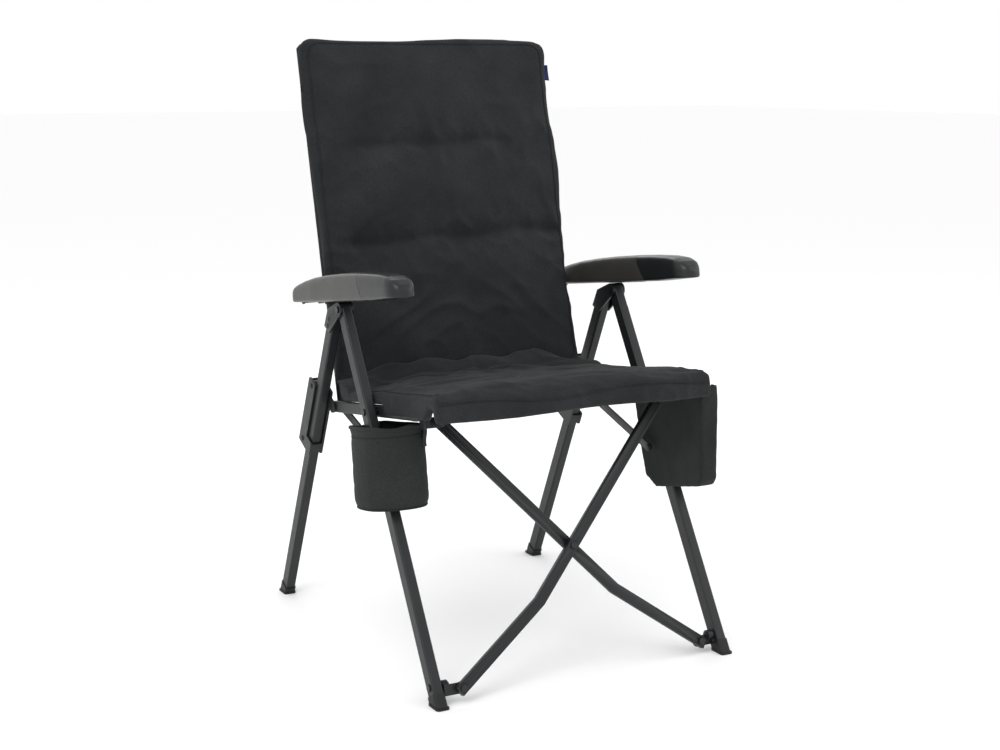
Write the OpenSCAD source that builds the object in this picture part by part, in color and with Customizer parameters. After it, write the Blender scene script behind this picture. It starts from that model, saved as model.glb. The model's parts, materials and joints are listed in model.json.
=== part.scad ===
// Folding reclining camp chair.
// X is the width, -Y the front, +Z up. The origin is on the floor, below the middle of the chair.
// Side pieces are drawn for the right side (+X) and mirrored for the left side.

/* [Side frame] */
// Distance between the centres of the two side frames
track_w = 608; // [520:2:760]
// Lean of the front legs from the vertical, degrees
front_lean = 31.4; // [29:0.2:34]
// Lean of the rear legs from the vertical, degrees
rear_lean = 25.4; // [23:0.2:28]
// Front leg length from the floor to the hub
hub_along = 773; // [640:1:940]
// Distance from the seat rail's pivot to the hub, along the front leg
link_l = 211; // [176:1:240]
// Distance of the rear leg's axis behind the hub
rear_offset = 32; // [30:0.5:38]
// Leg tube width, side to side
tube_w = 20; // [16:0.5:24]
// Leg tube depth, front to back
tube_d = 28; // [22:0.5:32]
// Wall of every rectangular tube
tube_wall = 1.4; // [1:0.1:2]
// Corner radius of the rectangular tubes
tube_r = 3.5; // [2:0.1:5]

/* [Seat rails and struts] */
// Seat rail width, side to side
rail_w = 14; // [10:0.5:16]
// Seat rail height
rail_h = 22; // [16:0.5:26]
// Distance from the rail's leg pivot to its front pivot
rail_front = 177; // [140:1:220]
// Length of the side strut between its centres
strut_l = 292; // [240:1:350]
// Thickness of the side strut
strut_t = 3.5; // [2.5:0.1:4]
// Width of the side strut
strut_w = 17; // [12:0.5:20]

/* [Slider] */
// Slider length above the pivot
slider_up = 26; // [18:1:40]
// Slider length below the pivot
slider_down = 128; // [100:1:160]
// Thickness of the slider's cheeks
slider_wall = 4; // [3:0.1:5]
// Depth of the roller box behind the leg
slider_box = 27; // [22:0.5:32]

/* [Cross bars] */
// Distance of the lower bolts inside the middle planes of the legs
foot_bolt_in = 45.3; // [42:0.1:56]
// Height of the lower bolts above the floor
foot_bolt_z = 31; // [28:0.5:40]
// Distance of the lower bolts in front of the front legs' axes
foot_bolt_front = 28.5; // [26:0.5:34]
// Lean of the cross bars' plane from the vertical, degrees
cross_lean = 15.9; // [13:0.1:18]
// Distance of the centre bolt above the lower bolts, along the plane
cross_mid = 220; // [180:1:265]
// Distance of the bend below the centre bolt, along the plane
bend_drop = 92; // [75:1:110]
// Distance of the upper bolts inside the middle planes of the legs
top_bolt_in = 72; // [62:0.5:86]
// Cross bar width
bar_w = 20; // [16:0.5:24]
// Cross bar depth, front to back
bar_d = 12; // [9:0.5:14]

/* [Back] */
// Lean of the back poles from the vertical, degrees
pole_lean = 14.4; // [12:0.2:18]
// Distance of the poles behind the slider pivot
pole_offset = 24; // [22:0.5:28]
// Pole diameter
pole_dia = 18; // [15:0.5:18]
// Pole wall
pole_wall = 1.2; // [1:0.1:2]
// Pole length above the slider pivot
pole_l = 722; // [600:1:860]

/* [Armrests] */
// Length of the armrest in front of its pivot
arm_front = 497; // [414:1:596]
// Length of the armrest behind its pivot
arm_tail = 25; // [22:1:32]
// Slope of the armrest, degrees, front end up
arm_slope = 7.3; // [6:0.1:8]
// Widest part of the armrest
arm_w = 54; // [50:1:60]
// Height of the armrest at its middle
arm_h = 52; // [46:1:60]
// Height of the armrest at its tail
arm_tail_h = 29; // [26:1:34]
// Height of the armrest just behind its nose
arm_nose_h = 47; // [42:1:54]
// Wall of the armrest shells
arm_wall = 2.5; // [2:0.1:3]
// Distance from the pivot to the seam with the front cap
arm_seam = 327; // [284:1:384]
// Distance of the armrest pivot behind the pole
arm_pivot_back = 33; // [32:0.5:38]

/* [Soft parts] */
// Thickness of the seat pad
seat_t = 30; // [24:1:36]
// Overhang of the seat in front of the rails' front pivots
seat_nose = 88; // [70:1:105]
// Depth of the front band below the rails' centre line
seat_band = 15; // [10:1:20]
// Gap between the seat pad's sides and the legs
seat_gap = 4; // [2:0.5:10]
// Thickness of the back pad
back_t = 34; // [26:1:42]
// Gap between the back pad's sides and the armrests
back_gap = 1; // [0.5:0.5:8]
// Length of the back pad above the slider pivot
back_l = 742; // [612:1:892]
// Distance of the cup holder's outer face outside the middle plane of its leg
cup_out = 56; // [48:1:68]
// Distance of the side pocket's outer face outside the middle plane of its leg
pocket_out = 56; // [50:1:68]
// How much narrower the side pocket is at its front edge
pocket_taper = 28; // [20:1:32]
// Height of the cup holder
cup_h = 149; // [124:1:168]
// Width of the cup holder, side to side
cup_w = 128; // [112:1:142]
// Length of the cup holder, front to back
cup_l = 150; // [138:1:168]
// Wall of the cup holder and the side pocket
fabric_t = 2.4; // [1.8:0.1:3]

/* [Hardware] */
// Diameter of the frame pins
pin_dia = 8; // [6:0.5:9]
// Diameter of the bolt heads
head_dia = 13; // [11:0.5:15]
// Height of the bolt heads
head_t = 2.5; // [2:0.1:3]
// Radius of the hub at the top of the side frame
hub_r = 14; // [12:0.5:15]
// Radial clearance of a pin in its hole
pin_gap = 0.05; // [0.03:0.01:0.08]
// Gap between pieces that pass each other
side_gap = 0.5; // [0.3:0.1:0.8]

/* [Feet] */
// Length of the foot's flared sole
sole_l = 40; // [36:1:50]
// Width of the foot's flared sole
sole_w = 26; // [22:1:32]
// Thickness of the sole's flare
sole_t = 4; // [3:0.5:6]
// Height of the foot's sleeve above the floor
foot_h = 19; // [14:1:24]

/* [Hidden] */
$fn = 48;
sides = ["left", "right"];
paired = ["front_leg", "front_knuckle", "front_foot", "front_leg_bolts", "rear_leg", "rear_hub",
          "rear_foot", "seat_rail", "rail_lug", "lug_pin", "slider", "slider_rollers",
          "slider_pin", "side_strut", "upper_link", "foot_swivel", "back_hinge", "pole_fitting",
          "back_pole", "pole_cap", "arm_bracket", "arm_bush", "armrest", "armrest_cap",
          "armrest_rack"];
single = ["cross_bar_a", "cross_bar_b", "cross_bolt", "bar_bolts_a", "bar_bolts_b",
          "seat_pad", "back_pad", "back_tabs", "cup_holder", "side_pocket"];

LEFT = -1;
RIGHT = 1;
cloth = "#2d2f31";
frame_paint = "#3a3d40";
plastic = "#202224";
arm_grey = "#4b4b4c";
gloss = "#26282b";
steel = "#8d9094";

// Side view points are [y, z], measured from the middle of the front foot
function lean(a) = [sin(a), cos(a)];
leg_x = track_w / 2;
leg_in = leg_x - tube_w / 2;
leg_out = leg_x + tube_w / 2;
hub = hub_along * lean(front_lean);
rail_along = hub_along - link_l;
rail_pivot = rail_along * lean(front_lean);
spread = front_lean + rear_lean;
slide_run = 2 * link_l * cos(spread);
slide_pivot = hub + slide_run * [sin(rear_lean), -cos(rear_lean)];
rail_slope = 90 + front_lean - 2 * spread;
lug_pivot = rail_pivot + rail_front * [-cos(rail_slope), sin(rail_slope)];
rear_top = hub + rear_offset * [cos(rear_lean), sin(rear_lean)];
rear_l = rear_top[1] / cos(rear_lean);
rear_foot_y = rear_top[0] + rear_top[1] * tan(rear_lean);
mid_y = rear_foot_y / 2;

// Layers from the leg inwards
wall_x1 = leg_in - side_gap;
wall_x0 = wall_x1 - slider_wall;
rail_x1 = wall_x0 - side_gap;
rail_x0 = rail_x1 - rail_w;
rail_mid = (rail_x0 + rail_x1) / 2;
strut_x1 = rail_x0 - side_gap;
strut_x0 = strut_x1 - strut_t;
hinge_x1 = strut_x0 - side_gap;
hinge_x0 = hinge_x1 - 3;
eye_x1 = hinge_x0 - side_gap;
eye_x0 = eye_x1 - 13;
pole_x = eye_x1 - 6;
wall_out = leg_out + side_gap;
pin_r = pin_dia / 2;
head_r = head_dia / 2;
run_r = pin_r + pin_gap;
eye_r = 12;
end_gap = 0.3;
foot_bolt_x = leg_x - foot_bolt_in;
top_bolt_x = leg_x - top_bolt_in;

// Front leg
sleeve = 1.8;
tube_start = 16;
knuckle_l = 36;
seam_angle = 28;
hole_along = foot_bolt_z / cos(front_lean);

// Front end of the strut: the point of the front leg's axis that is one strut length from the slider pivot
slider_along = slide_pivot * lean(front_lean);
slider_behind = slide_pivot * [cos(front_lean), -sin(front_lean)];
strut_along = slider_along - sqrt(strut_l * strut_l - slider_behind * slider_behind);
strut_end = strut_along * lean(front_lean);
strut_slope = atan2(slide_pivot[1] - strut_end[1], slide_pivot[0] - strut_end[0]);

// Cross bars: x is the width, y runs up the plane, z comes forward. The zero is the centre bolt.
foot_bolt = [foot_bolt_z * tan(front_lean) - foot_bolt_front, foot_bolt_z];
cross_at = foot_bolt + cross_mid * lean(cross_lean);
swivel_axis = [foot_bolt_z * tan(front_lean), foot_bolt_z];
function to_plane(p) = [(p - cross_at) * lean(cross_lean),
                        (p - cross_at) * [-cos(cross_lean), sin(cross_lean)]];
swivel_p = to_plane(swivel_axis);
lug_p = to_plane(lug_pivot);
top_bolt_y = lug_p[0] - 15;
bend_at = bend_drop * [top_bolt_x / top_bolt_y, -1];
bar_gap = 1;
bar_b_z = -bar_d;
bar_a_z = -2 * bar_d - bar_gap;
plate_t = 4;
swivel_x1 = leg_in - 2.5;
swivel_x0 = swivel_x1 - 11.5;
link_x0 = strut_x1 - 12.5;

// Armrest
arm_pivot_y = pole_offset + arm_pivot_back;
arm_pivot_z = slide_run - 8;
arm_pivot = slide_pivot + arm_pivot_y * [cos(pole_lean), -sin(pole_lean)]
            + arm_pivot_z * lean(pole_lean);
hub_below = (hub - arm_pivot) * [sin(arm_slope), cos(arm_slope)];
hub_ahead = (hub - arm_pivot) * [-cos(arm_slope), sin(arm_slope)];
rack_low = hub_below + hub_r + 0.5;
arm_low = rack_low + 1;
arm_x0 = leg_x - arm_w / 2;
arm_x1 = leg_x + arm_w / 2;
boss_r = 10;
bush_r = 7;

// Pads
seat_w = 2 * (leg_in - seat_gap);
back_w = 2 * (arm_x0 - back_gap);
seat_low = rail_h / 2 + 1;
seat_front = -rail_front - seat_nose;
seat_back = link_l - 38;

module place(p) { translate([0, p[0] - mid_y, p[1]]) children(); }
module in_front_leg() { place([0, 0]) rotate([-front_lean, 0, 0]) children(); }
module in_rear_leg() { place(hub) rotate([rear_lean, 0, 0]) children(); }
module in_slider() { place(slide_pivot) rotate([rear_lean, 0, 0]) children(); }
module in_strut() { place(slide_pivot) rotate([strut_slope, 0, 0]) children(); }
module in_rail() { place(rail_pivot) rotate([-rail_slope, 0, 0]) children(); }
module in_pole() { place(slide_pivot) rotate([-pole_lean, 0, 0]) children(); }
module in_arm() { place(arm_pivot) rotate([-arm_slope, 0, 0]) children(); }
module in_cross() { place(cross_at) rotate([90 - cross_lean, 0, 0]) children(); }
module on_side(s) { mirror([s < 0 ? 1 : 0, 0, 0]) children(); }

// A side view outline made solid from x0 to x1
module plate(x0, x1) { translate([x0, 0, 0]) rotate([90, 0, 90]) linear_extrude(x1 - x0) children(); }
module rod(x0, x1, r) { translate([x0, 0, 0]) rotate([0, 90, 0]) cylinder(h = x1 - x0, r = r); }
module bar_rod(p, z0, z1, r) { translate([p[0], p[1], z0]) cylinder(h = z1 - z0, r = r); }
module rounded(w, h, r) {
    square([w - 2 * r, h], center = true);
    square([w, h - 2 * r], center = true);
    for (sx = [-1, 1], sy = [-1, 1])
        translate([sx * (w / 2 - r), sy * (h / 2 - r)]) circle(r);
}
module hollow(w, h, r, wall) {
    difference() {
        rounded(w, h, r);
        rounded(w - 2 * wall, h - 2 * wall, r - wall);
    }
}
// A rounded rectangle between two corners
module patch(y0, y1, z0, z1, r) {
    translate([(y0 + y1) / 2, (z0 + z1) / 2]) rounded(y1 - y0, z1 - z0, r);
}

// Front leg. Its own frame: z runs up the leg from the floor, y to the rear.
module seam_cut() {
    translate([leg_x, -tube_d / 2, hub_along - knuckle_l - 8]) rotate([seam_angle, 0, 0])
        translate([-50, -50, 0]) cube([100, 150, 200]);
}
module front_leg(s) {
    color(frame_paint) on_side(s) in_front_leg() difference() {
        translate([leg_x, 0, tube_start]) linear_extrude(hub_along - tube_start)
            hollow(tube_w, tube_d, tube_r, tube_wall);
        seam_cut();
        translate([0, 0, rail_along]) rod(leg_in - 1, leg_out + 1, pin_r);
        translate([0, 0, hole_along]) rod(leg_in - 1, leg_out + 1, pin_r);
    }
}
module front_knuckle(s) {
    color(frame_paint) on_side(s) in_front_leg() difference() {
        union() {
            intersection() {
                translate([leg_x, 0, hub_along - 2 * knuckle_l])
                    linear_extrude(2 * knuckle_l) rounded(tube_w - 1, tube_d, tube_r);
                seam_cut();
            }
            translate([0, 0, hub_along]) rod(leg_in + 0.5, leg_out - 0.5, hub_r);
            translate([leg_x, 0, hub_along - 70]) linear_extrude(50)
                rounded(tube_w - 2 * tube_wall, tube_d - 2 * tube_wall, tube_r - tube_wall);
        }
        translate([0, 0, hub_along]) rod(leg_in - 1, leg_out + 1, pin_r);
        translate([leg_x - 50, -50, hub_along]) difference() {
            cube([100, 100, 60]);
            translate([0, 50, 0]) rod(0, 100, hub_r);
        }
    }
}
module foot(h) {
    difference() {
        translate([leg_x, 0, -20]) linear_extrude(h + 20)
            rounded(tube_w + 2 * sleeve, tube_d + 2 * sleeve, tube_r + sleeve);
        translate([leg_x, 0, tube_start]) linear_extrude(h) rounded(tube_w, tube_d, tube_r);
    }
}
module foot_shape(y, a) {
    difference() {
        union() {
            place([y, 0]) rotate([a, 0, 0]) foot(foot_h + 3);
            translate([leg_x, y - mid_y, 0]) linear_extrude(sole_t) rounded(sole_w, sole_l, 6);
        }
        translate([leg_x - 40, y - mid_y - 60, -60]) cube([80, 120, 60]);
        place([y, 0]) rotate([a, 0, 0]) translate([leg_x, 0, tube_start])
            linear_extrude(60) rounded(tube_w, tube_d, tube_r);
    }
}
module front_foot(s) { color(plastic) on_side(s) foot_shape(0, -front_lean); }
module rear_foot(s) { color(plastic) on_side(s) foot_shape(rear_foot_y, rear_lean); }
module front_leg_bolts(s) {
    color(steel) on_side(s) in_front_leg() {
        translate([0, 0, hub_along]) {
            rod(leg_in - slider_wall - end_gap, leg_out + slider_wall + end_gap, pin_r);
            for (d = [-1, 1])
                rod(leg_x + d * (tube_w / 2 + slider_wall + end_gap + head_t / 2) - head_t / 2,
                    leg_x + d * (tube_w / 2 + slider_wall + end_gap + head_t / 2) + head_t / 2, head_r);
        }
        translate([0, 0, rail_along]) {
            rod(rail_x0 - end_gap - head_t, leg_out + head_t, pin_r);
            rod(rail_x1 + end_gap, leg_in, 8);
            rod(leg_out, leg_out + head_t, head_r);
            rod(rail_x0 - end_gap - head_t, rail_x0 - end_gap, head_r);
        }
        translate([0, 0, hole_along]) {
            rod(swivel_x0 - end_gap - head_t, leg_out + head_t, pin_r);
            rod(swivel_x1 + end_gap, leg_in, 7);
            rod(leg_out, leg_out + head_t, head_r);
            rod(swivel_x0 - end_gap - head_t, swivel_x0 - end_gap, head_r);
        }
    }
}

// Rear leg. Its own frame: the zero is the hub, z runs up the leg, y to the rear.
module top_slant() {
    translate([leg_x, rear_offset - tube_d / 2, -2]) rotate([-45, 0, 0])
        translate([-50, -60, 0]) cube([100, 150, 80]);
}
module rear_leg(s) {
    color(frame_paint) on_side(s) in_rear_leg() difference() {
        translate([leg_x, rear_offset, tube_start - rear_l]) linear_extrude(rear_l - tube_start)
            hollow(tube_w, tube_d, tube_r, tube_wall);
        top_slant();
        for (z = [-42, -58]) translate([0, rear_offset, z]) rod(leg_in - 1, leg_out + 1, 3);
    }
}
module rear_hub(s) {
    color(frame_paint) on_side(s) in_rear_leg() difference() {
        union() {
            for (x = [leg_in - slider_wall, leg_out]) plate(x, x + slider_wall) {
                circle(hub_r);
                polygon([[-9, -10], [0, hub_r], [10, 10], [rear_offset + 12, -26], [rear_offset + 14, -66],
                         [rear_offset - 12, -66]]);
            }
            for (z = [-42, -58]) translate([0, rear_offset, z]) {
                rod(leg_in - slider_wall, leg_out + slider_wall, 3);
                rod(leg_out + slider_wall, leg_out + slider_wall + 1.2, 4.5);
            }
        }
        rod(leg_in - 10, leg_out + 10, run_r);
    }
}

// Seat rail. Its own frame: the zero is its leg pivot, y runs to the rear.
module seat_rail(s) {
    color(frame_paint) on_side(s) in_rail() difference() {
        translate([rail_mid, link_l + 13, 0]) rotate([90, 0, 0])
            linear_extrude(link_l + 13 + rail_front - 20) rounded(rail_w, rail_h, 2.5);
        translate([rail_mid, link_l + 10, 0]) rotate([90, 0, 0]) linear_extrude(link_l + rail_front + 50)
            rounded(rail_w - 2 * tube_wall, rail_h - 2 * tube_wall, 1.1);
        rod(rail_x0 - 1, rail_x1 + 1, run_r);
        translate([0, link_l, 0]) rod(rail_x0 - 1, rail_x1 + 1, run_r);
    }
}
module rail_lug(s) {
    color(frame_paint) on_side(s) in_rail() difference() {
        union() {
            plate(rail_x0, rail_x1) {
                translate([-rail_front, 0]) circle(rail_h / 2);
                patch(-rail_front, -rail_front + 20, -rail_h / 2, rail_h / 2, 0.5);
            }
            translate([rail_mid, -rail_front + 50, 0]) rotate([90, 0, 0]) linear_extrude(40)
                rounded(rail_w - 2 * tube_wall, rail_h - 2 * tube_wall, 1.1);
        }
        translate([0, -rail_front, 0]) rod(rail_x0 - 1, rail_x1 + 1, pin_r);
    }
}
module lug_pin(s) {
    color(steel) on_side(s) in_rail() translate([0, -rail_front, 0]) {
        rod(link_x0 - end_gap - head_t, rail_x1, pin_r);
        rod(link_x0 - end_gap - head_t, link_x0 - end_gap, head_r);
    }
}

// Slider. Its own frame: the zero is the slider pivot, z runs up the rear leg, y to the rear.
leg_back = rear_offset + tube_d / 2;
leg_front = rear_offset - tube_d / 2;
box_y = leg_back + slider_box;
roller_r = 10.5;
roller_y = leg_back + 0.4 + roller_r;
module slider(s) {
    color(frame_paint) on_side(s) in_slider() difference() {
        union() {
            plate(wall_x0, wall_x1) {
                circle(eye_r);
                patch(-4, 40, -eye_r, eye_r, 1);
                patch(leg_front - 4.5, box_y, -slider_down, slider_up, 4);
            }
            plate(wall_out, wall_out + slider_wall) {
                patch(leg_back - 6, box_y, -slider_down, slider_up, 4);
                patch(leg_front - 4.5, box_y, -slider_down, -slider_down + 30, 4);
            }
            plate(wall_x0, wall_out + slider_wall) {
                patch(box_y - 3, box_y, -slider_down + 4, slider_up - 4, 1);
                patch(leg_front - 4.5, leg_front - 0.5, -slider_down + 4, -slider_down + 26, 1);
            }
        }
        rod(wall_x0 - 1, wall_x1 + 1, pin_r);
        for (z = [slider_up - 12, 12 - slider_down]) translate([0, roller_y, z])
            rod(wall_x0 - 1, wall_out + slider_wall + 1, 3);
    }
}
module slider_rollers(s) {
    color(plastic) on_side(s) in_slider() for (z = [slider_up - 12, 12 - slider_down])
        translate([0, roller_y, z]) {
            rod(wall_x1 + 0.5, wall_out - 0.5, roller_r);
            rod(wall_x0, wall_out + slider_wall + 1.5, 3);
            rod(wall_out + slider_wall, wall_out + slider_wall + 1.5, 5);
        }
}
module slider_pin(s) {
    color(steel) on_side(s) in_slider() {
        rod(eye_x0 - end_gap - head_t, wall_x1, pin_r);
        rod(eye_x0 - end_gap - head_t, eye_x0 - end_gap, head_r);
    }
}
module side_strut(s) {
    color(frame_paint) on_side(s) in_strut() difference() {
        union() {
            plate(strut_x0, strut_x1) {
                circle(strut_w / 2 + 1.5);
                translate([-strut_l, 0]) circle(strut_w / 2);
                patch(-strut_l, 0, -strut_w / 2, strut_w / 2, 0.5);
            }
            translate([0, -strut_l, 0]) rod(strut_x1, strut_x1 + 3, 7);
            translate([0, -strut_l, 0]) rod(strut_x0 - head_t, strut_x0, head_r);
        }
        rod(strut_x0 - 1, strut_x1 + 1, run_r);
    }
}

// Cross bars and their links
module upper_link(s) {
    z0 = s > 0 ? side_gap : bar_a_z + bar_d + side_gap;
    color(frame_paint) on_side(s) in_cross() difference() {
        union() {
            translate([0, lug_p[0], lug_p[1]]) rod(link_x0, strut_x1, 11);
            translate([0, 0, z0]) linear_extrude(plate_t) {
                translate([top_bolt_x, top_bolt_y]) circle(10);
                translate([top_bolt_x, top_bolt_y - 10]) square([strut_x1 - top_bolt_x, 20]);
            }
            translate([link_x0, top_bolt_y - 10, z0])
                cube([strut_x1 - link_x0, lug_p[0] - top_bolt_y + 12, lug_p[1] - z0]);
            bar_rod([top_bolt_x, top_bolt_y], z0 + plate_t, z0 + plate_t + head_t, head_r);
        }
        translate([0, lug_p[0], lug_p[1]]) {
            rod(link_x0 - 1, strut_x1 + 1, run_r);
            rod(link_x0 - end_gap - head_t - 0.5, link_x0, head_r + 0.5);
        }
    }
}
module foot_swivel(s) {
    z1 = (s > 0 ? bar_a_z : bar_b_z) - side_gap;
    color(frame_paint) on_side(s) in_cross() difference() {
        union() {
            translate([0, swivel_p[0], swivel_p[1]]) rod(swivel_x0, swivel_x1, 10);
            translate([0, 0, z1 - plate_t]) linear_extrude(plate_t) {
                translate([foot_bolt_x, -cross_mid]) circle(11);
                translate([foot_bolt_x, -cross_mid - 10]) square([swivel_x1 - foot_bolt_x, 20]);
            }
            plate(swivel_x0, swivel_x1) polygon([[-cross_mid - 10, z1], [-cross_mid + 10, z1],
                [swivel_p[0] + 10, swivel_p[1]], [swivel_p[0] - 10, swivel_p[1]]]);
        }
        translate([0, swivel_p[0], swivel_p[1]]) {
            rod(swivel_x0 - 1, swivel_x1 + 1, run_r);
            rod(swivel_x0 - end_gap - head_t - 0.5, swivel_x0, head_r + 0.5);
        }
        bar_rod([foot_bolt_x, -cross_mid], z1 - plate_t - 1, z1 + 1, run_r);
    }
}
low_bolt = [foot_bolt_x, -cross_mid];
top_bolt = [-top_bolt_x, top_bolt_y];
up = (top_bolt - bend_at) / norm(top_bolt - bend_at);
low = (low_bolt - bend_at) / norm(low_bolt - bend_at);
up_side = [up[1], -up[0]];
low_side = [-low[1], low[0]];
bend_side = (up_side + low_side) / (1 + up_side * low_side);
bar_over = 10;
// Front view of a bar: two straight lengths that meet in a bend
module bar_outline(w, over) {
    top_end = top_bolt + over * up;
    low_end = low_bolt + over * low;
    polygon([top_end + w / 2 * up_side, bend_at + w / 2 * bend_side, low_end + w / 2 * low_side,
             low_end - w / 2 * low_side, bend_at - w / 2 * bend_side, top_end - w / 2 * up_side]);
}
// The bar that runs from the upper left to the lower right
module cross_bar(z0, center_r) {
    difference() {
        translate([0, 0, z0]) linear_extrude(bar_d) bar_outline(bar_w, bar_over);
        translate([0, 0, z0 + tube_wall]) linear_extrude(bar_d - 2 * tube_wall)
            bar_outline(bar_w - 2 * tube_wall, bar_over - tube_wall);
        bar_rod(low_bolt, z0 - 1, z0 + bar_d + 1, pin_r);
        bar_rod(top_bolt, z0 - 1, z0 + bar_d + 1, pin_r);
        bar_rod([0, 0], z0 - 1, z0 + bar_d + 1, center_r);
    }
}
module cross_bar_a() { color(frame_paint) in_cross() cross_bar(bar_a_z, run_r); }
module cross_bar_b() { color(frame_paint) in_cross() mirror([1, 0, 0]) cross_bar(bar_b_z, pin_r); }
module cross_bolt() {
    color(steel) in_cross() {
        bar_rod([0, 0], bar_a_z - end_gap - head_t, head_t, pin_r);
        bar_rod([0, 0], 0, head_t, head_r);
        bar_rod([0, 0], bar_b_z - bar_gap + 0.2, bar_b_z, 9);
        bar_rod([0, 0], bar_a_z - end_gap - head_t, bar_a_z - end_gap, head_r);
    }
}
module bar_bolts(z0) {
    behind = z0 - side_gap - plate_t - end_gap;
    bar_rod(low_bolt, behind - head_t, z0 + bar_d + head_t, pin_r);
    bar_rod(low_bolt, z0 + bar_d, z0 + bar_d + head_t, head_r);
    bar_rod(low_bolt, behind - head_t, behind, head_r);
    bar_rod(top_bolt, z0 - head_t, z0 + bar_d, pin_r);
    bar_rod(top_bolt, z0 - head_t, z0, head_r);
}
module bar_bolts_a() { color(steel) in_cross() bar_bolts(bar_a_z); }
module bar_bolts_b() { color(steel) in_cross() mirror([1, 0, 0]) bar_bolts(bar_b_z); }

// Back. Its own frame: the zero is the slider pivot, z runs up the pole, y to the rear.
collar_l = 26;
module back_hinge(s) {
    color(plastic) on_side(s) in_pole() difference() {
        rod(hinge_x0, hinge_x1, eye_r);
        rod(hinge_x0 - 1, hinge_x1 + 1, run_r);
    }
}
module pole_fitting(s) {
    color(plastic) on_side(s) in_pole() difference() {
        union() {
            plate(eye_x0, eye_x1) {
                circle(eye_r);
                patch(0, pole_offset, -eye_r, eye_r, 1);
            }
            translate([pole_x, pole_offset, -eye_r]) cylinder(h = collar_l + eye_r, r = pole_dia / 2);
            translate([pole_x, pole_offset, 0]) cylinder(h = collar_l + 30, r = pole_dia / 2 - pole_wall);
        }
        rod(eye_x0 - 10, eye_x1 + 10, run_r);
    }
}
module back_pole(s) {
    color(frame_paint) on_side(s) in_pole() translate([pole_x, pole_offset, collar_l]) difference() {
        cylinder(h = pole_l - collar_l, r = pole_dia / 2);
        translate([0, 0, -1]) cylinder(h = pole_l, r = pole_dia / 2 - pole_wall);
    }
}
module pole_cap(s) {
    color(plastic) on_side(s) in_pole() translate([pole_x, pole_offset, pole_l]) {
        cylinder(h = 5, r1 = pole_dia / 2, r2 = pole_dia / 2 - 2);
        translate([0, 0, -20]) cylinder(h = 20, r = pole_dia / 2 - pole_wall);
    }
}
bracket_r = pole_dia / 2 + 2.5;
stud_x1 = leg_x;
module arm_bracket(s) {
    color(frame_paint) on_side(s) in_pole() difference() {
        union() {
            translate([pole_x, pole_offset, arm_pivot_z - 15]) cylinder(h = 30, r = bracket_r);
            plate(pole_x + 2, pole_x + bracket_r) {
                translate([arm_pivot_y, arm_pivot_z]) circle(boss_r);
                patch(pole_offset, arm_pivot_y, arm_pivot_z - boss_r, arm_pivot_z + boss_r, 0.5);
            }
            translate([0, arm_pivot_y, arm_pivot_z]) {
                rod(pole_x + 2, stud_x1 + end_gap, pin_r);
                rod(stud_x1 + end_gap, stud_x1 + end_gap + head_t, boss_r - 1);
            }
        }
        translate([pole_x, pole_offset, 0]) cylinder(h = pole_l, r = pole_dia / 2);
    }
}
module arm_bush(s) {
    color(plastic) on_side(s) in_arm() difference() {
        rod(arm_x0 + 0.2, stud_x1, bush_r);
        rod(arm_x0 - 1, stud_x1 + 1, run_r);
    }
}

// Armrest. Its own frame: the zero is its pivot, y runs to the rear.
function arm_edge(g, low) = [
    [arm_tail - g, low], [arm_tail - g, arm_low + arm_tail_h - 10 - g],
    [arm_tail - 10 - g, arm_low + arm_tail_h - g], [-50, arm_low + arm_h - 9 - g],
    [-140, arm_low + arm_h - 2 - g], [-260, arm_low + arm_h - g],
    [60 - arm_front, arm_low + arm_nose_h - g], [24 - arm_front, arm_low + arm_nose_h - 5 - g],
    [8 - arm_front + g, arm_low + arm_nose_h - 16 - g], [g - arm_front, arm_low + arm_nose_h - 30 - g],
    [g - arm_front, low]];
module arm_solid(g, low) {
    intersection() {
        plate(arm_x0, arm_x1) polygon(arm_edge(g, low));
        translate([leg_x, (arm_tail - arm_front) / 2, -100]) linear_extrude(200)
            rounded(arm_w - 2 * g, arm_tail + arm_front - 2 * g, 22 - g);
    }
}
module arm_shell() {
    difference() {
        union() {
            difference() {
                arm_solid(0, arm_low);
                arm_solid(arm_wall, arm_low - 40);
            }
            rod(arm_x0, stud_x1 - end_gap, boss_r);
        }
        rod(arm_x0 - 1, stud_x1 + 1, bush_r + pin_gap);
    }
}
module cap_cut() {
    translate([leg_x - 50, -arm_seam, arm_low + arm_h]) rotate([-34, 0, 0])
        translate([0, -400, -200]) cube([100, 400, 300]);
}
module armrest(s) { color(arm_grey) on_side(s) in_arm() difference() { arm_shell(); cap_cut(); } }
module armrest_cap(s) { color(gloss) on_side(s) in_arm() intersection() { arm_shell(); cap_cut(); } }
rack_from = hub_ahead - 18;
rack_to = hub_ahead + 112;
module armrest_rack(s) {
    color(plastic) on_side(s) in_arm() intersection() {
        arm_solid(arm_wall, arm_low - 40);
        plate(leg_x - 4, leg_x + 4) difference() {
            patch(-rack_to, -rack_from, rack_low, 100, 3);
            for (i = [0:3]) translate([-hub_ahead - 22 - 24 * i, rack_low]) circle(5);
        }
    }
}

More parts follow.
